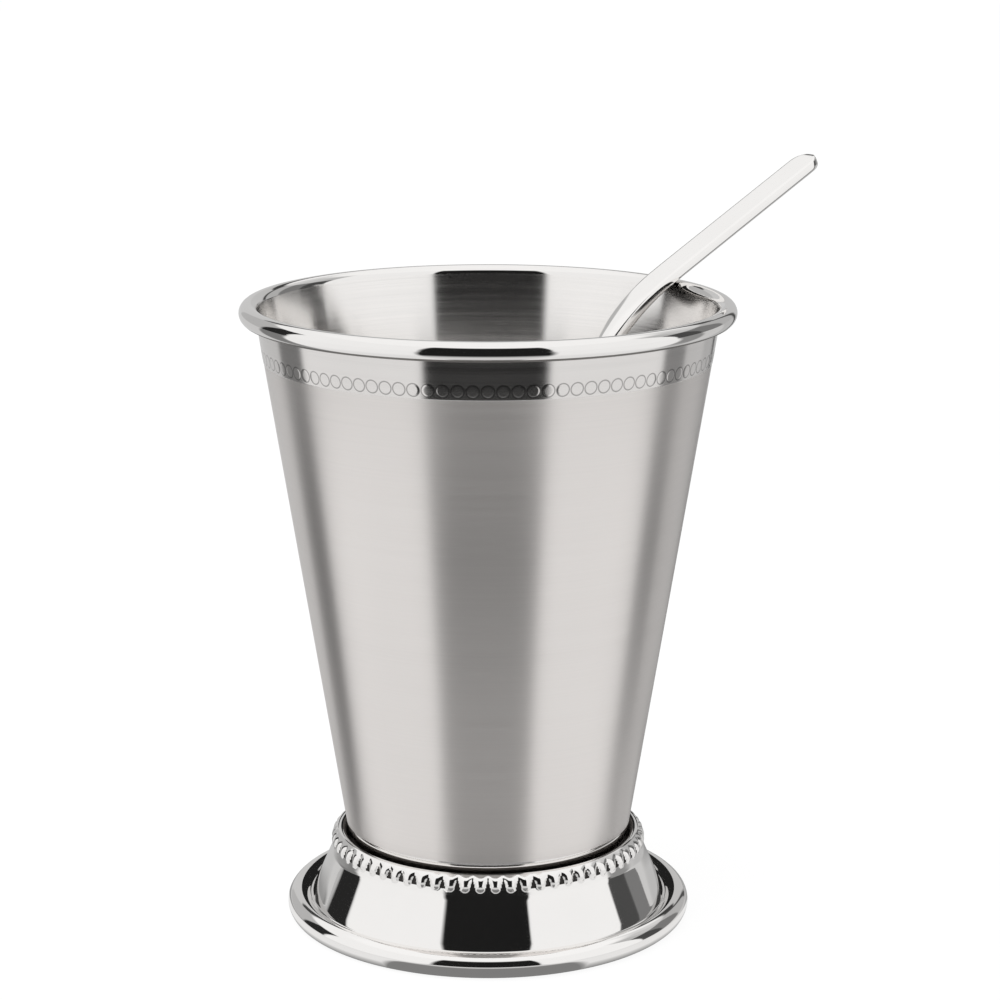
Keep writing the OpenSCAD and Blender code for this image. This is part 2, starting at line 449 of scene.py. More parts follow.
@dataclass(frozen=True)
class PearledSteel(BrushedSteel):
    """Satin steel with painted shade in the fine outline round each pearl, standing in for the shade of a
    pressed groove.
    """

    RING_SHADE_TONE: ClassVar[float] = 0.12

    count: int
    height: float
    wall_radius: float
    pearl_radius: float
    line_width: float
    ring_shade: float

    def _with_painted_shade(self, bench: NodeBench, metal: Socket) -> Socket:
        """Darken the metal in a ring round each pearl: painted shade in the pearl's outline.

        Args:
            bench: The material's nodes.
            metal: The clean metal's colour.

        Returns:
            The colour with the rings.
        """
        x, y, z = bench.split(bench.place())
        turns = bench.math("MULTIPLY_ADD", bench.math("ARCTAN2", y, x), self.count / (2.0 * pi),
                           self.count + 0.5)
        pitch = 2.0 * pi * self.wall_radius / self.count
        sideways = bench.math("MULTIPLY_ADD", bench.math("FRACT", turns), pitch, -pitch / 2.0)
        upwards = bench.math("SUBTRACT", z, self.height)
        off_centre = bench.math("SQRT", bench.math("ADD", bench.math("POWER", sideways, 2.0),
                                                   bench.math("POWER", upwards, 2.0)))
        off_line = bench.math("ABSOLUTE", bench.math("SUBTRACT", off_centre, self.pearl_radius))
        # Painted shade: the ring round each pearl is darkened in the base colour.
        line = bench.spread(off_line, (0.0, self.line_width), (self.ring_shade, 0.0), True)
        return bench.blend(line, metal, self._toned(self.RING_SHADE_TONE))


@dataclass(frozen=True)
class PolishedSteel(Finish):
    """Mirror-polished stainless steel, with faint polishing marks and a slight waviness."""

    SMEAR: ClassVar[Triple] = (90.0, 90.0, 120.0)
    WAVE: ClassVar[Triple] = (160.0, 160.0, 160.0)
    SHADOW: ClassVar[float] = 0.96
    SMEAR_SHARE: ClassVar[float] = 0.6
    CONTRAST: ClassVar[Span] = (0.35, 0.7)
    MARK_SHARE: ClassVar[float] = 0.04
    WAVE_STRENGTH: ClassVar[float] = 0.4

    roughness: float
    marks: Triple
    wave_depth: float

    def _work(self, bench: NodeBench) -> Inputs:
        """Lay out the nodes of the finish.

        Args:
            bench: The material's nodes.

        Returns:
            What the shader is fed with.
        """
        smear = bench.grain(self.SMEAR, detail=3.0, offset=5.3)
        marks = bench.grain(self.marks, detail=2.0, offset=1.9)
        wave = bench.grain(self.WAVE, detail=1.0, offset=2.6)
        cloud = bench.math("MULTIPLY_ADD", smear, self.SMEAR_SHARE,
                           bench.math("MULTIPLY", marks, 1.0 - self.SMEAR_SHARE))
        ripple = bench.math("MULTIPLY_ADD", marks, self.MARK_SHARE, wave)
        return {"Base Color": bench.blend(smear, self._toned(self.SHADOW), self.colour),
                "Roughness": bench.spread(cloud, self.CONTRAST, (self.roughness, 2.0 * self.roughness)),
                "Normal": bench.bump(ripple, self.WAVE_STRENGTH, self.wave_depth)}


@dataclass(frozen=True)
class Solder(Finish):
    """Dull tin solder with a frosted, slightly lumpy skin."""

    LUMPS: ClassVar[Triple] = (700.0, 700.0, 700.0)
    SHADOW: ClassVar[float] = 0.75
    CONTRAST: ClassVar[Span] = (0.3, 0.7)
    ROUGHNESS: ClassVar[Span] = (0.45, 0.65)
    LUMP_STRENGTH: ClassVar[float] = 0.6
    LUMP_DEPTH: ClassVar[float] = 0.0001

    def _work(self, bench: NodeBench) -> Inputs:
        """Lay out the nodes of the finish.

        Args:
            bench: The material's nodes.

        Returns:
            What the shader is fed with.
        """
        lump = bench.grain(self.LUMPS, detail=4.0)
        return {"Base Color": bench.blend(lump, self._toned(self.SHADOW), self.colour),
                "Roughness": bench.spread(lump, self.CONTRAST, self.ROUGHNESS),
                "Normal": bench.bump(lump, self.LUMP_STRENGTH, self.LUMP_DEPTH)}


def give_finishes(piece: Piece, finishes: tuple[Finish, ...]) -> None:
    """Put finishes in a piece's material slots, in order."""
    for finish in finishes:
        piece.data.materials.append(finish.make())


@dataclass
class CupShape:
    """Sizes that the cup shares with its foot, in metres and degrees."""

    height: float = 0.108
    mouth_radius: float = 0.0392
    heel_radius: float = 0.0239
    wall: float = 0.0006
    roll_radius: float = 0.00165
    edge_gap: float = 0.0002
    heel_bend: float = 0.005
    brushed_from: float = 0.0167
    floor_lift: float = 0.0115

    @property
    def roll_height(self) -> float:
        """Height of the middle of the rolled rim."""
        return self.height - self.roll_radius

    @property
    def taper(self) -> float:
        """Slope of the wall from upright, in degrees."""
        rise = self.roll_height - self.floor_lift
        return degrees(atan((self.mouth_radius - self.heel_radius) / rise))

    def wall_radius(self, height: float) -> float:
        """Return the outer radius of the wall at a height."""
        return self.heel_radius + (height - self.floor_lift) * tan(radians(self.taper))

    @property
    def roll_centre(self) -> Vector:
        """Middle of the rolled rim's section."""
        lean = (self.roll_radius - self.wall) / cos(radians(self.taper))
        return Vector((self.wall_radius(self.roll_height) + lean, self.roll_height))

    @property
    def heel_centre(self) -> Vector:
        """Middle of the bend between floor and wall.

        Returns:
            Its distance from the axis and its height.
        """
        height = self.floor_lift + self.heel_bend
        inset = self.heel_bend / cos(radians(self.taper))
        return Vector((self.wall_radius(height) - inset, height))


@dataclass
class CupBody:
    """The drawn cup: floor, tapered wall with a band of pearls, and the rolled rim."""

    shape: CupShape
    pearl_count: int = 100
    pearl_radius: float = 0.00105
    pearl_rise: float = 0.000022
    pearl_edge: float = 0.0003
    pearl_drop: float = 0.0084
    band_reach: float = 0.00147
    band_step: float = 0.00005
    # Angles round the rim's curl between which its underside gets painted shade.
    under_rim_shade_from: float = -42.0
    under_rim_shade_to: float = -165.0
    rim_reach: float = 1.02
    wedge_steps: int = 8
    band_rows: int = 14
    roll_steps: int = 24
    heel_steps: int = 6
    smooth_below: float = 50.0

    def build(self) -> Piece:
        """Draw the cup's section, sweep one wedge of it, press the pearl and copy the wedge round.

        Returns:
            The cup as one closed sheet.
        """
        shape = self.shape
        inward = 180.0 - shape.taper
        curl = 360.0 - degrees(acos((shape.roll_radius - shape.wall - shape.edge_gap) / shape.roll_radius))
        roll, heel = shape.roll_centre, shape.heel_centre
        inner_roll = shape.roll_radius - shape.wall
        low, high = self.pearl_height - self.band_reach, self.pearl_height + self.band_reach
        step = self.band_step
        wedge = 360.0 / self.pearl_count
        pen = ProfilePen("cup_drawn", Vector((0.0, shape.floor_lift)))
        pen.line_to(Vector((heel.x, shape.floor_lift)), cuts=2)
        pen.bend(heel, 90.0 - shape.taper, self.heel_steps)
        pen.line_to(Vector((shape.wall_radius(shape.brushed_from), shape.brushed_from)), cuts=2)
        pen.line_to(Vector((shape.wall_radius(low - step), low - step)), cuts=3)
        pen.line_to(Vector((shape.wall_radius(low) + step, low)))
        pen.line_to(Vector((shape.wall_radius(high) + step, high)), self.band_rows)
        pen.line_to(roll + inner_roll * polar(inward), cuts=2)
        pen.bend(roll, -curl, self.roll_steps // 2)
        pen.line_to(roll + shape.roll_radius * polar(inward - curl))
        pen.bend(roll, curl, self.roll_steps)
        pen.line_to(heel + (shape.heel_bend - shape.wall) * polar(-shape.taper), cuts=3)
        pen.bend(heel, shape.taper - 90.0, self.heel_steps - 1)
        pen.line_to(Vector((0.0, shape.floor_lift + shape.wall)), cuts=2)
        sweep(self.wedge_steps, wedge)
        self._refine(pen.piece, low, high)
        emboss(pen.piece, polar(-shape.taper), self._rise)
        sweep(self.pearl_count - 1, 360.0 - wedge, copies=True)
        turn_up(pen.piece, wedge / 2.0)
        smooth(pen.piece, self.smooth_below)
        return pen.piece

    @property
    def pearl_height(self) -> float:
        """Height of the middle of the pearls."""
        return self.shape.height - self.pearl_drop

    def _refine(self, piece: Piece, low: float, high: float) -> None:
        """Halve the faces of the outer skin between two heights.

        Args:
            piece: The wedge in edit mode.
            low: Lower height.
            high: Upper height.
        """
        bpy.ops.mesh.select_all(action="DESELECT")
        bpy.context.tool_settings.mesh_select_mode = (False, False, True)
        mesh = bmesh.from_edit_mesh(piece.data)
        for face in mesh.faces:
            middle = face.calc_center_median()
            face.select_set(low < middle.z < high and not self._is_inside(middle.to_2d().length, middle.z))
        bmesh.update_edit_mesh(piece.data)
        bpy.ops.mesh.subdivide(number_cuts=1)
        bpy.context.tool_settings.mesh_select_mode = (True, False, False)

    def _rise(self, place: Vector) -> float:
        """Measure how far the first wedge's pearl, a low disc with a rounded edge, stands out.

        Args:
            place: A place on the wedge.

        Returns:
            The rise there.
        """
        upwards = place.z - self.pearl_height
        if abs(upwards) > self.pearl_radius or self._is_inside(place.to_2d().length, place.z):
            return 0.0
        sideways = off_middle(place, self.pearl_count, -pi / self.pearl_count)
        inwards = self.pearl_radius - hypot(sideways, upwards)
        return self.pearl_rise * ease(inwards, 0.0, self.pearl_edge)

    def dress(self, piece: Piece) -> None:
        """Give the wall, the rim and the inside their finishes, and the rim's underside a painted shade.

        Args:
            piece: The finished cup.
        """
        finishes = (
            BrushedSteel("brushed_wall", (0.95, 0.915, 0.89), roughness=0.41, stretch=1.0, shade=0.04),
            BrushedSteel("satin_inside", (0.89, 0.872, 0.855), roughness=0.16, stretch=0.80, shade=0.07),
            PolishedSteel("polished_rim", (0.90, 0.885, 0.87), roughness=0.035,
                          marks=(20.0, 20.0, 4000.0), wave_depth=0.00001),
            # The band's pearls get a ring of painted shade round them.
            PearledSteel("satin_band", (0.75, 0.73, 0.715), roughness=0.17, stretch=0.90, shade=0.06,
                         count=self.pearl_count, height=self.pearl_height,
                         wall_radius=self.shape.wall_radius(self.pearl_height),
                         pearl_radius=self.pearl_radius, line_width=0.00018, ring_shade=0.65),
            # A dark material that paints the shade under the rim.
            BrushedSteel("painted_shade_under_rim", (0.24, 0.23, 0.22), roughness=0.45, stretch=0.0, shade=0.1))
        wall, inside, rim, band, under_rim_shade = range(len(finishes))
        give_finishes(piece, finishes)
        roll, reach = self.shape.roll_centre, self.shape.roll_radius * self.rim_reach
        for face in piece.data.polygons:
            radius = hypot(face.center.x, face.center.y)
            height = face.center.z
            arm = Vector((radius, height)) - roll
            if arm.length < reach:
                turn = degrees(atan2(arm.y, arm.x))
                # Painted shade: the rim's underside, where it meets the wall, takes the dark material.
                face.material_index = under_rim_shade if self.under_rim_shade_to < turn < self.under_rim_shade_from else rim
            elif self._is_inside(radius, height):
                face.material_index = inside
            elif height < self.shape.brushed_from:
                face.material_index = rim
            else:
                face.material_index = band if height > self.pearl_height - self.band_reach else wall

    def _is_inside(self, radius: float, height: float) -> bool:
        """Tell whether a place on the sheet is on its inner face.

        Args:
            radius: The place's distance from the axis.
            height: Its height.

        Returns:
            Whether it is.
        """
        shape, skin = self.shape, self.shape.wall / 2.0
        arm = Vector((radius, height)) - shape.heel_centre
        if arm.x > 0.0 and degrees(atan2(arm.y, arm.x)) < -shape.taper:
            return arm.length < shape.heel_bend - skin
        return radius < shape.wall_radius(height) - skin and height > shape.floor_lift + skin


@dataclass
class Foot:
    """The spun foot: seat, recess, folded lip, neck, cone and the rolled base ring."""

    shape: CupShape
    sheet: float = 0.00065
    height: float = 0.0152
    groove: float = 0.00055
    fold: float = 0.0008
    flare: float = 15.0
    neck_drop: float = 0.0032
    neck_bend: float = 0.004
    spread: float = 0.0086
    ring_radius: float = 0.00215
    ring_flat: float = 0.00015
    seat_bore: float = 0.015
    seat_bend: float = 0.0012
    solder: float = 0.0002
    valley: float = 0.0003
    slit: float = 35.0
    # Angle round the lip's fold past which the groove gets painted shade.
    groove_shade_from: float = 118.0
    steps: int = 288
    bend_steps: int = 5
    fold_steps: int = 12
    cone_cuts: int = 8
    ring_steps: int = 26
    smooth_below: float = 40.0

    @property
    def lip_centre(self) -> Vector:
        """Middle of the fold that makes the lip."""
        height = self.height - self.fold
        return Vector((self.shape.wall_radius(height) + self.groove + self.fold, height))

    @property
    def neck_top(self) -> Vector:
        """Where the fold runs out into the neck."""
        return self.lip_centre + self.fold * polar(self.flare)

    @property
    def neck_end(self) -> Vector:
        """Where the neck turns into the cone.

        Returns:
            The place's distance from the axis and its height.
        """
        height = self.lip_centre.y - self.neck_drop
        out = (self.neck_top.y - height) * tan(radians(self.flare))
        return Vector((self.neck_top.x + out, height))

    @property
    def ring_centre(self) -> Vector:
        """Middle of the base ring's section."""
        return Vector((self.lip_centre.x + self.fold + self.spread - self.ring_radius,
                       self.ring_radius - self.ring_flat))

    def build(self) -> Piece:
        """Draw the foot's section, turn it and give it thickness.

        Returns:
            The foot as one closed sheet.
        """
        lip, ring = self.lip_centre, self.ring_centre
        recess = lip.x - self.fold
        seat = self.shape.floor_lift - self.solder
        bend = Vector((recess - self.seat_bend, seat + self.seat_bend))
        cone_end = Vector((ring.x - self.ring_radius + self.sheet, ring.y))
        along = (cone_end - self.neck_end).normalized()
        outward = Vector((-along.y, along.x))
        cone_flare = degrees(atan2(outward.y, outward.x))
        half_turn = (cone_flare - self.flare) / 2.0
        reach = self.neck_bend / cos(radians(half_turn))
        hollow = self.neck_end + reach * polar(self.flare + half_turn)
        start = self.neck_end + self.valley * outward - ring
        slope = start.dot(along)
        way = -slope - sqrt(slope ** 2 - start.length_squared + (self.ring_radius + self.valley) ** 2)
        valley = ring + start + way * along
        crest = valley - ring
        crest_angle = degrees(atan2(crest.y, crest.x))
        flat = degrees(asin(ring.y / self.ring_radius))
        pen = ProfilePen("foot_spun", Vector((self.seat_bore, seat)))
        pen.line_to(Vector((bend.x, seat)), cuts=4)
        pen.bend(bend, 90.0, self.bend_steps)
        pen.line_to(Vector((recess, lip.y)))
        pen.bend(lip, self.flare - 180.0, self.fold_steps)
        pen.line_to(hollow - self.neck_bend * polar(self.flare), cuts=3)
        pen.bend(hollow, 2.0 * half_turn, self.bend_steps - 1)
        pen.line_to(valley - self.valley * outward, self.cone_cuts)
        pen.bend(valley, (crest_angle - cone_flare) % 360.0, self.bend_steps + 1)
        pen.bend(ring, -flat - crest_angle, self.ring_steps)
        pen.line_to(ring + self.ring_radius * polar(flat - 180.0))
        pen.bend(ring, self.slit - flat, self.bend_steps - 1)
        sweep(self.steps)
        face_out(pen.piece)
        give_thickness(pen.piece, self.sheet)
        smooth(pen.piece, self.smooth_below)
        return pen.piece

    def dress(self, piece: Piece) -> None:
        """Give the foot its mirror polish, and the recess and the groove their painted shade.

        Args:
            piece: The finished foot.
        """
        give_finishes(piece, (
            PolishedSteel("polished_foot", (0.93, 0.915, 0.90), roughness=0.03,
                          marks=(12.0, 12.0, 3000.0), wave_depth=0.00002),
            BrushedSteel("painted_shade_recess", (0.18, 0.165, 0.155), roughness=0.7, stretch=0.0, shade=0.2)))
        lip = self.lip_centre
        edge = lip.x - self.fold + self.sheet / 2.0
        inner_seat = self.shape.floor_lift - self.solder - self.sheet / 2.0
        # Painted shade: faces in the recess and the groove take the dark material.
        for face in piece.data.polygons:
            radius = hypot(face.center.x, face.center.y)
            arm = Vector((radius, face.center.z)) - lip
            if arm.length > self.fold - self.sheet / 2.0 and arm.y > 0.0:
                in_groove = degrees(atan2(arm.y, arm.x)) > self.groove_shade_from
            else:
                in_groove = radius < edge and face.center.z > inner_seat
            face.material_index = int(in_groove)


@dataclass
class BeadCollar:
    """The band of long beads that hangs from the lip, down the neck."""

    foot: Foot
    count: int = 66
    height: float = 0.0029
    band: float = 0.0001
    bead_length: float = 0.0029
    bead_rise: float = 0.00046
    top_width: float = 0.0022
    full_width: float = 0.0027
    low_width: float = 0.0019
    full_at: float = 0.0006
    end_length: float = 0.0011
    # Faces that the beads barely lift, along this span down the band, get painted shade.
    gap_shade_rise: float = 0.00001
    gap_shade_span: Span = (0.0010, 0.0025)
    fold_angle: float = 55.0
    thickness: float = 0.00025
    wedge_steps: int = 16
    rows: int = 14
    fold_rows: int = 5
    smooth_below: float = 60.0

    def build(self) -> Piece:
        """Draw the collar's section, sweep one wedge, press the bead and copy the wedge round.

        Returns:
            The collar as one closed band.
        """
        down, out = polar(self.foot.flare - 90.0), polar(self.foot.flare)
        lip, reach = self.foot.lip_centre, self.foot.fold + self.band
        pen = ProfilePen("bead_collar_pressed", lip + reach * polar(self.fold_angle))
        pen.bend(lip, self.foot.flare - self.fold_angle, self.fold_rows)
        pen.line_to(self.foot.neck_top + self.band * out + self.height * down, self.rows)
        wedge = 360.0 / self.count
        sweep(self.wedge_steps, wedge)
        emboss(pen.piece, out, lambda place: self._rise(place, -pi / self.count))
        sweep(self.count - 1, 360.0 - wedge, copies=True)
        face_out(pen.piece)
        turn_up(pen.piece, wedge / 2.0)
        give_thickness(pen.piece, self.thickness)
        smooth(pen.piece, self.smooth_below)
        return pen.piece

    def _way(self, place: Vector) -> float:
        """Measure the way down the band from its upper edge to a place on it.

        Args:
            place: The place.

        Returns:
            The distance along the band.
        """
        arm = Vector((place.to_2d().length, place.z)) - self.foot.lip_centre
        angle = degrees(atan2(arm.y, arm.x))
        if angle < self.foot.flare:
            on_fold = radians(self.fold_angle - self.foot.flare) * (self.foot.fold + self.band)
            return on_fold - arm.dot(polar(self.foot.flare + 90.0))
        return arm.length * radians(self.fold_angle - angle)

    def _rise(self, place: Vector, middle: float) -> float:
        """Measure how far a bead stands out of the band at a place.

        Args:
            place: The place.
            middle: Angle in radians of one bead's middle line.

        Returns:
            The rise there.
        """
        way, sideways = self._way(place), off_middle(place, self.count, middle)
        end_from = self.bead_length - self.end_length
        if way < self.full_at:
            half = mix(self.top_width, self.full_width, way / self.full_at) / 2.0
        else:
            share = min((way - self.full_at) / (end_from - self.full_at), 1.0)
            half = mix(self.full_width, self.low_width, share) / 2.0
        over_end = max((way - end_from) / self.end_length, 0.0)
        dome = max(1.0 - (sideways / half) ** 2 - over_end ** 2, 0.0)
        return self.bead_rise * ease(way, 0.0, 2.0 * self.full_at) * dome

    def dress(self, piece: Piece) -> None:
        """Give the collar its polish, and the gaps between the beads their painted shade.

        Args:
            piece: The finished collar.
        """
        give_finishes(piece, (
            PolishedSteel("polished_collar", (0.92, 0.905, 0.89), roughness=0.05,
                          marks=(200.0, 200.0, 900.0), wave_depth=0.00001),
            BrushedSteel("painted_shade_between_beads", (0.05, 0.047, 0.045),
                         roughness=0.5, stretch=0.0, shade=0.2)))
        # Painted shade: the low gaps between the beads are near black in the base colour.
        first, last = self.gap_shade_span
        for face in piece.data.polygons:
            low = self._rise(face.center, 0.0) < self.gap_shade_rise
            face.material_index = int(low and first < self._way(face.center) < last)


@dataclass
class Spoon:
    """The spoon: a flat handle with a round end, a bend over the rim, a round neck and an egg-shaped bowl."""

    shape: CupShape
    lean: float = 36.0
    handle_slope: float = 28.5
    neck_slope: float = 66.0
    bend_radius: float = 0.040
    reach: float = 0.0383
    setback: float = 0.001
    handle_width: float = 0.006
    handle_thickness: float = 0.0019
    neck_width: float = 0.0042
    neck_thickness: float = 0.0026
    neck_crown: float = 0.0006
    bowl_length: float = 0.042
    bowl_width: float = 0.024
    bowl_depth: float = 0.005
    bowl_thickness: float = 0.001
    rest_gap: float = 0.0003
    widest: float = 0.56
    edge_ease: float = 0.6
    end_share: float = 0.65
    end_offset: float = 0.1
    narrowest: float = 0.0004
    crown_end: float = 0.3
    join_power: float = 4.0
    rounding_levels: int = 2
    columns: int = 8
    end_steps: int = 9
    handle_steps: int = 5
    bend_steps: int = 9
    neck_steps: int = 4
    bowl_steps: int = 20
    smooth_below: float = 60.0

    def __post_init__(self) -> None:
        """Work out the centre line from the sizes."""
        rim = self.shape.roll_radius + self.rest_gap + self.handle_thickness / 2.0
        self.rim_point = self.shape.roll_centre + rim * polar(90.0 + self.handle_slope)
        self.bend_top = self.rim_point - self.setback * polar(self.handle_slope)
        self.bend_low = self.bend_top - self._bend_shift(self.neck_slope)
        tip = self.shape.floor_lift + self.shape.wall + self.rest_gap + self.bowl_thickness / 2.0
        below_bend = (self.bend_low.y - tip) / sin(radians(self.neck_slope))
        self.handle_length = self.reach + self.setback
        self.bend_length = self.bend_radius * radians(self.neck_slope - self.handle_slope)
        self.neck_from = self.handle_length + self.bend_length
        self.length = self.neck_from + below_bend

    def _bend_shift(self, slope: float) -> Vector:
        """Return how far the bend has gone where it has a slope."""
        low, high = radians(self.handle_slope), radians(slope)
        return self.bend_radius * Vector((sin(high) - sin(low), cos(low) - cos(high)))

    def _slope(self, way: float) -> float:
        """Return the slope in degrees at a way along the spoon."""
        share = min(max((way - self.handle_length) / self.bend_length, 0.0), 1.0)
        return mix(self.handle_slope, self.neck_slope, share)

    def _centre(self, way: float) -> Vector:
        """Find the centre line's point at a way along the spoon.

        Args:
            way: Distance along the centre line from the handle's end.

        Returns:
            Its distance from the axis and its height.
        """
        if way < self.handle_length:
            return self.rim_point + (self.reach - way) * polar(self.handle_slope)
        if way < self.neck_from:
            return self.bend_top - self._bend_shift(self._slope(way))
        return self.bend_low - (way - self.neck_from) * polar(self.neck_slope)

    def _bowl_share(self, way: float) -> float:
        """Return how far along the bowl a way is, from 0 to 1."""
        return min(max((way - self.length + self.bowl_length) / self.bowl_length, 0.0), 1.0)

    def _round_end(self, way: float) -> float:
        """Return the handle's round end as a share of its full width."""
        end = self.handle_width / 2.0
        return sqrt(max(end ** 2 - (end - way) ** 2, 0.0)) / end if way < end else 1.0

    def _half_width(self, way: float) -> float:
        """Work out half the width at a way along the spoon.

        Args:
            way: Distance along the centre line from the handle's end.

        Returns:
            Half the width.
        """
        share = self._bowl_share(way)
        narrowing = ease(way, self.reach, self.neck_from)
        bar = mix(self.handle_width, self.neck_width, narrowing) / 2.0 * self._round_end(way) * (1.0 - share)
        side = self.widest if share < self.widest else 1.0 - self.widest
        egg = sqrt(max(1.0 - ((share - self.widest) / side) ** 2, 0.0)) * self.bowl_width / 2.0
        joined = (bar ** self.join_power + egg ** self.join_power) ** (1.0 / self.join_power)
        return max(joined, self.narrowest)

    def _thickness(self, way: float) -> float:
        """Work out the thickness at a way along the spoon.

        Args:
            way: Distance along the centre line from the handle's end.

        Returns:
            The thickness.
        """
        bar = mix(self.handle_thickness, self.neck_thickness, ease(way, self.reach, self.neck_from))
        flat = mix(bar, self.bowl_thickness, ease(self._bowl_share(way), 0.0, self.widest))
        return flat * mix(self._round_end(way), 1.0, self.end_share)

    def _stations(self) -> list[float]:
        """Choose the places along the spoon where its section is set.

        Returns:
            Their ways, from the handle's end to the bowl's tip.
        """
        end, bowl_from = self.handle_width / 2.0, self.length - self.bowl_length
        places = [end * (1.0 - cos(radians(90.0 * (k + self.end_offset) / self.end_steps)))
                  for k in range(self.end_steps)]
        for start, stop, steps in ((end, self.handle_length, self.handle_steps),
                                   (self.handle_length, self.neck_from, self.bend_steps),
                                   (self.neck_from, bowl_from, self.neck_steps)):
            places += [mix(start, stop, k / steps) for k in range(steps)]
        return places + [self.length - self.bowl_length * (1.0 + cos(pi * k / self.bowl_steps)) / 2.0
                         for k in range(self.bowl_steps + 1)]

    def build(self) -> Piece:
        """Draw the spoon section by section along its centre line, and round it.

        Returns:
            The spoon as one closed piece.
        """
        places = self._stations()
        deselect_all()
        first = self._centre(places[0])
        bpy.ops.mesh.primitive_grid_add(x_subdivisions=1, y_subdivisions=self.columns, size=2.0)
        piece = bpy.context.active_object
        piece.name = piece.data.name = "spoon_forged"
        piece.scale = (self._thickness(places[0]) / 2.0, self._half_width(places[0]), 1.0)
        piece.rotation_euler = (0.0, radians(-90.0 - self._slope(places[0])), 0.0)
        piece.location = (first.x, 0.0, first.y)
        bpy.ops.object.transform_apply(location=True, rotation=True, scale=True)
        bpy.ops.object.mode_set(mode="EDIT")
        bpy.ops.mesh.select_all(action="SELECT")
        for before, way in zip(places, places[1:]):
            self._add_section(before, way)
        ring = 2 * (self.columns + 1)
        for number, way in enumerate(places):
            self._form_section(piece, number * ring, way)
        merge_seams()
        take_up(piece)
        rounding = piece.modifiers.new("rounding", "SUBSURF")
        rounding.levels = rounding.render_levels = self.rounding_levels
        bpy.ops.object.modifier_apply(modifier=rounding.name)
        turn_up(piece, self.lean)
        smooth(piece, self.smooth_below)
        return piece

    def _add_section(self, before: float, way: float) -> None:
        """Extrude the selected end section to the next place.

        Args:
            before: Way along the spoon where the end section is.
            way: Way along the spoon where it goes.
        """
        step = self._centre(way) - self._centre(before)
        centre = self._centre(way)
        pivot = (centre.x, 0.0, centre.y)
        bpy.ops.mesh.extrude_region_move(TRANSFORM_OT_translate={"value": (step.x, 0.0, step.y)})
        turn = self._slope(way) - self._slope(before)
        if turn:
            bpy.ops.transform.rotate(value=radians(turn), orient_axis="Y", center_override=pivot)
        thicker = self._thickness(way) / self._thickness(before)
        wider = self._half_width(way) / self._half_width(before) / thicker
        bpy.ops.transform.resize(value=(thicker, thicker, thicker), center_override=pivot)
        bpy.ops.transform.resize(value=(1.0, wider, 1.0), center_override=pivot)

    def _form_section(self, piece: Piece, first: int, way: float) -> None:
        """Crown or dish one section, column by column.

        Args:
            piece: The object in edit mode.
            first: Number of the section's first vertex.
            way: Way along the spoon where the section is.
        """
        share = self._bowl_share(way)
        dish = 4.0 * self.bowl_depth * share * (1.0 - share)
        crown = self.neck_crown * ease(way, self.reach, self.neck_from)
        crown *= 1.0 - ease(share, 0.0, self.crown_end)
        up = polar(self._slope(way) + 90.0)
        if dish + crown < MERGE_GAP / 2.0:
            return
        for column in range(self.columns // 2 + 1):
            across = 1.0 - 2.0 * column / self.columns
            for side in (0, 1):
                pair = {first + 2 * column + side, first + 2 * (self.columns - column) + side}
                outward = crown * (2 * side - 1)
                lift = (outward - dish) * (1.0 - across ** 2) - outward * self.edge_ease * across ** 2
                select_vertices(piece, pair)
                bpy.ops.transform.translate(value=(lift * up.x, 0.0, lift * up.y))

    def dress(self, piece: Piece) -> None:
        """Give the spoon its polish.

        Args:
            piece: The finished spoon.
        """
        give_finishes(piece, (
            PolishedSteel("polished_spoon", (0.93, 0.915, 0.90), roughness=0.04,
                          marks=(600.0, 600.0, 600.0), wave_depth=0.00001),))


@dataclass(frozen=True)
class Panel:
    """One upright panel: where it ends, how bright its parts look in metal, and the painted light and shade
    of the floor before it in metal.
    """

    end: float
    low: float
    middle: float
    high: float
    under: float
    near: float
    far: float


class Level(Enum):
    """Which brightness of a panel is looked up."""

    LOW = "low"
    MIDDLE = "middle"
    HIGH = "high"
    UNDER = "under"
    NEAR = "near"
    FAR = "far"


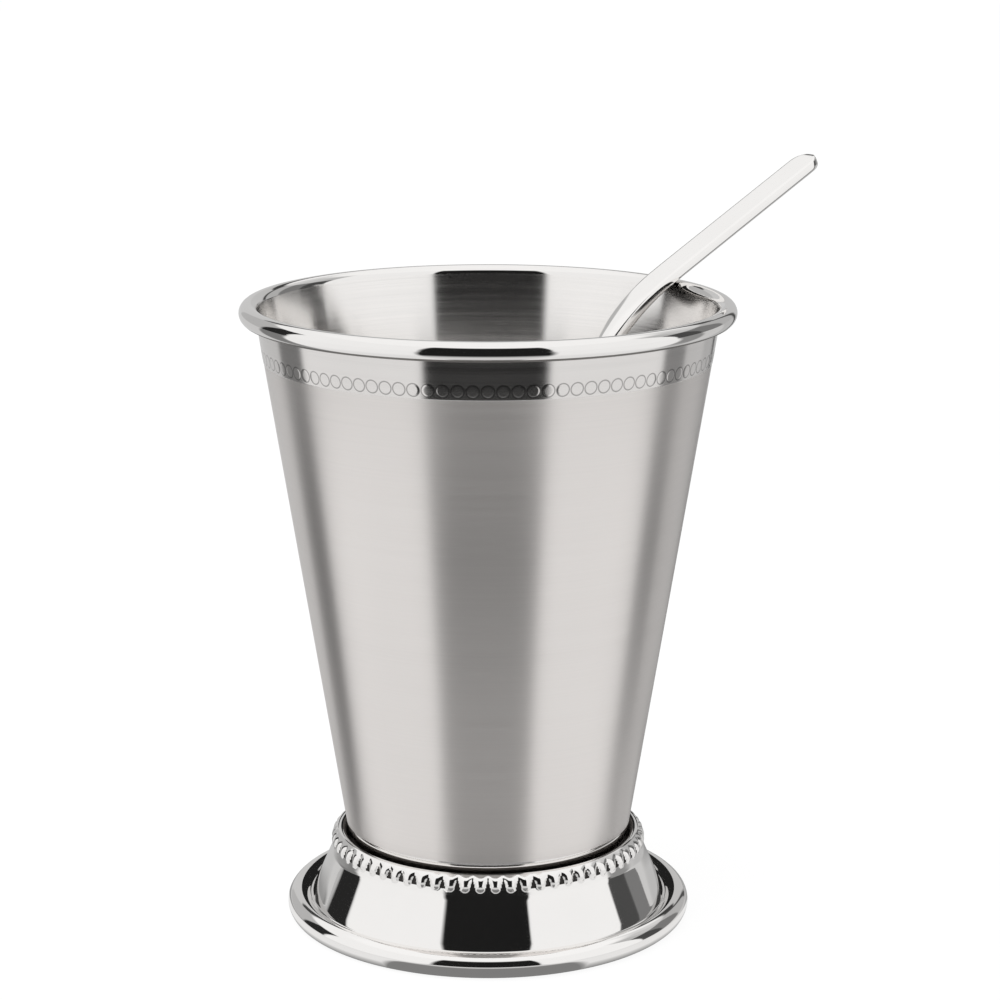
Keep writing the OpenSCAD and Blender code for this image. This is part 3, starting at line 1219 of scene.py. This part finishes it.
@dataclass
class Studio:
    """A pale floor, soft white light, and the panels that the metal reflects; in the metal the floor shows
    painted light and shade.
    """

    panels: tuple[Panel, ...] = (
        Panel(-157.0, 0.60, 0.05, 0.95, 0.62, 0.62, 0.62), Panel(-125.0, 0.48, 0.48, 0.95, 0.50, 0.55, 0.62),
        Panel(-103.0, 0.02, 0.02, 0.95, 0.30, 0.32, 0.21), Panel(-31.0, 0.95, 0.95, 0.95, 0.85, 0.82, 0.93),
        Panel(29.0, 0.012, 0.012, 0.012, 0.22, 0.70, 0.013), Panel(95.0, 0.95, 0.95, 0.95, 0.85, 0.82, 0.93),
        Panel(113.0, 0.07, 0.07, 0.50, 0.40, 0.65, 0.28), Panel(134.0, 0.20, 0.20, 0.60, 0.30, 0.52, 0.62),
        Panel(151.0, 0.46, 0.46, 0.70, 0.30, 0.25, 0.50), Panel(156.0, 0.08, 0.08, 0.80, 0.30, 0.22, 0.05),
        Panel(180.0, 0.55, 0.05, 0.95, 0.45, 0.42, 0.55))
    middle_band: Span = (24.0, 25.5)
    high_band: Span = (30.0, 33.0)
    ceiling: Span = (44.0, 53.0)
    edge_softness: float = 1.2
    floor_softness: float = 3.0
    near_softness: float = 9.0
    floor_size: float = 12.0
    floor_tone: float = 0.85
    camera_share: float = 0.88
    contact_shade: Span = (0.12, 1.0)
    contact_reach: Span = (0.0335, 0.0370)
    near_reach: Span = (0.042, 0.055)
    far_reach: Span = (0.085, 0.19)
    camera_white: float = 1.03
    card_size: Span = (0.064, 0.066)
    card_distance: float = 0.10
    card_tone: float = 0.015
    lamp_place: Triple = (-0.35, -0.25, 1.1)
    lamp_turn: Span = (-13.0, -18.0)
    lamp_size: float = 0.9
    lamp_energy: float = 6.0

    def build(self) -> None:
        """Make the world, the floor, the card and the lamp."""
        self._make_world()
        self._make_floor()
        self._make_card()
        self._make_lamp()

    def _tone(self, bench: NodeBench, direction: Socket, level: Level) -> Socket:
        """Look up how bright the panels are in a direction round the axis.

        Args:
            bench: The node tree in hand.
            direction: The direction, or a place seen from the axis.
            level: Which brightness is wanted.

        Returns:
            The brightness, as a colour output.
        """
        x, y, _ = bench.split(direction)
        turn = bench.math("ARCTAN2", x, bench.math("MULTIPLY", y, -1.0))
        ramp = bench.add("ValToRGB", {0: bench.math("MULTIPLY_ADD", turn, 0.5 / pi, 0.5)})
        stops: list[Span] = []
        start = -180.0
        softness = {Level.UNDER: self.floor_softness, Level.NEAR: self.near_softness,
                    Level.FAR: self.floor_softness}
        soften = softness.get(level, self.edge_softness) / 2.0
        for panel in self.panels:
            shade = getattr(panel, level.value)
            stops += [(start + soften, shade), (panel.end - soften, shade)]
            start = panel.end
        elements = ramp.color_ramp.elements
        elements.remove(elements[1])
        for number, (angle, shade) in enumerate(stops):
            place = angle / 360.0 + 0.5
            element = elements.new(place) if number else elements[0]
            element.position = place
            element.color = (shade, shade, shade, 1.0)
        return ramp.outputs[0]

    def _make_world(self) -> None:
        """White to the camera, and panels under a white ceiling to the metal."""
        world = bpy.data.worlds.new("studio")
        bpy.context.scene.world = world
        world.use_nodes = True
        bench = NodeBench(world.node_tree)
        direction = bench.add("TexCoord").outputs["Generated"]
        height = bench.split(direction)[2]
        painted = self._tone(bench, direction, Level.LOW)
        for band, tone in ((self.middle_band, self._tone(bench, direction, Level.MIDDLE)),
                           (self.high_band, self._tone(bench, direction, Level.HIGH)),
                           (self.ceiling, WHITE)):
            start, end = (sin(radians(elevation)) for elevation in band)
            painted = bench.blend(bench.spread(height, (start, end), (0.0, 1.0), True), painted, tone)
        background = bench.add("Background", {"Color": bench.blend(bench.seen_in_metal(), WHITE, painted)})
        bench.add("OutputWorld", {"Surface": background.outputs[0]})

    def _make_floor(self) -> None:
        """A pale floor, white to the camera, that keeps a faint shadow of the cup; to the metal it glows with
        painted light and shade that change round the cup and with distance, and a painted shadow near the
        foot.
        """
        deselect_all()
        bpy.ops.mesh.primitive_plane_add(size=self.floor_size, location=(0.0, 0.0, 0.0))
        floor = bpy.context.active_object
        floor.name = "studio_floor"
        material, bench = new_material("pale_floor")
        place, in_metal = bench.place(), bench.seen_in_metal()
        to_camera = bench.add("LightPath").outputs["Is Camera Ray"]
        distance = bench.add("VectorMath", {0: place}, operation="LENGTH").outputs["Value"]
        # Painted light and shade on the floor as the metal sees it, by direction round the cup and by
        # distance.
        painted_floor_light = self._tone(bench, place, Level.UNDER)
        for reach, level in ((self.near_reach, Level.NEAR), (self.far_reach, Level.FAR)):
            beyond = bench.spread(distance, reach, (0.0, 1.0), True)
            painted_floor_light = bench.blend(beyond, painted_floor_light, self._tone(bench, place, level))
        # Painted shadow: the floor looks darker to the metal close round the foot.
        painted_contact_shadow = bench.spread(distance, self.contact_reach, self.contact_shade)
        glow = bench.add("Emission", {
            "Color": bench.blend(in_metal, WHITE, bench.math("MINIMUM", painted_floor_light, painted_contact_shadow)),
            "Strength": bench.spread(to_camera, (0.0, 1.0), (1.0, self.camera_white))})
        matt = bench.add("BsdfDiffuse", {"Color": (self.floor_tone,) * 3})
        share = bench.math("MAXIMUM", bench.math("MULTIPLY", to_camera, self.camera_share), in_metal)
        mixed = bench.add("MixShader", {0: share, 1: matt.outputs[0], 2: glow.outputs[0]})
        bench.add("OutputMaterial", {"Surface": mixed.outputs[0]})
        floor.data.materials.append(material)

    def _make_card(self) -> None:
        """A low dark card behind the cup, which only the polished foot shows."""
        deselect_all()
        width, height = self.card_size
        bpy.ops.mesh.primitive_plane_add(size=1.0, location=(0.0, self.card_distance, height / 2.0),
                                         rotation=(radians(90.0), 0.0, 0.0))
        card = bpy.context.active_object
        card.name = "studio_card"
        card.scale = (width, height, 1.0)
        bpy.ops.object.transform_apply(location=True, rotation=True, scale=True)
        material, bench = new_material("dark_card")
        glow = bench.add("Emission", {"Color": (self.card_tone,) * 3})
        bench.add("OutputMaterial", {"Surface": glow.outputs[0]})
        card.data.materials.append(material)
        card.visible_camera = card.visible_diffuse = card.visible_shadow = False

    def _make_lamp(self) -> None:
        """One wide soft lamp overhead."""
        deselect_all()
        bpy.ops.object.light_add(type="AREA", location=self.lamp_place)
        lamp = bpy.context.active_object
        lamp.name = "softbox"
        lamp.rotation_euler = (*(radians(turn) for turn in self.lamp_turn), 0.0)
        lamp.data.shape = "SQUARE"
        lamp.data.size = self.lamp_size
        lamp.data.energy = self.lamp_energy
        lamp.visible_glossy = False


@dataclass
class StudioCamera:
    """The camera at the photograph's viewing angle."""

    place: Triple = (0.0, -0.49506, 0.18844)
    pitch: float = 13.08
    lens: float = 107.0
    sensor: float = 36.0
    shift: float = 0.012
    clip: float = 0.01

    def build(self) -> None:
        """Make the camera and give it to the scene."""
        deselect_all()
        bpy.ops.object.camera_add(location=self.place, rotation=(radians(90.0 - self.pitch), 0.0, 0.0))
        camera = bpy.context.active_object
        camera.data.sensor_width = self.sensor
        camera.data.lens = self.lens
        camera.data.shift_x = self.shift
        camera.data.clip_start = self.clip
        bpy.context.scene.camera = camera


def place(piece: Piece, body: str, node: str, slot: str) -> None:
    """Say what a finished piece rides on and stands for.

    Args:
        piece: The finished piece.
        body: CAD body that it moves with.
        node: CAD node that it stands for.
        slot: Material slot of the record; not used.
    """
    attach(piece, body)
    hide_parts(node)
    LOG.info("%s rides on %s, %d faces", piece.name, body, len(piece.data.polygons))


def main() -> None:
    """Build the studio and each piece in order."""
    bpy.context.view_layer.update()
    bpy.context.scene.view_settings.view_transform = "Standard"
    StudioCamera().build()
    Studio().build()
    shape = CupShape()
    foot = Foot(shape)
    for maker, body, node, slot in (
            (CupBody(shape), "cup", "cup_body", "cup_steel"),
            (foot, "cup", "foot", "foot_steel"),
            (BeadCollar(foot), "cup", "bead_collar", "collar_steel"),
            (Spoon(shape), "spoon", "spoon", "spoon_steel")):
        piece = maker.build()
        maker.dress(piece)
        place(piece, body, node, slot)
    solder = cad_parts["seat_solder"]
    solder.data.materials.clear()
    give_finishes(solder, (Solder("dull_solder", (0.55, 0.55, 0.54)),))


if __name__ == "__main__":
    logging.basicConfig(level=logging.INFO, format="%(message)s")
    main()
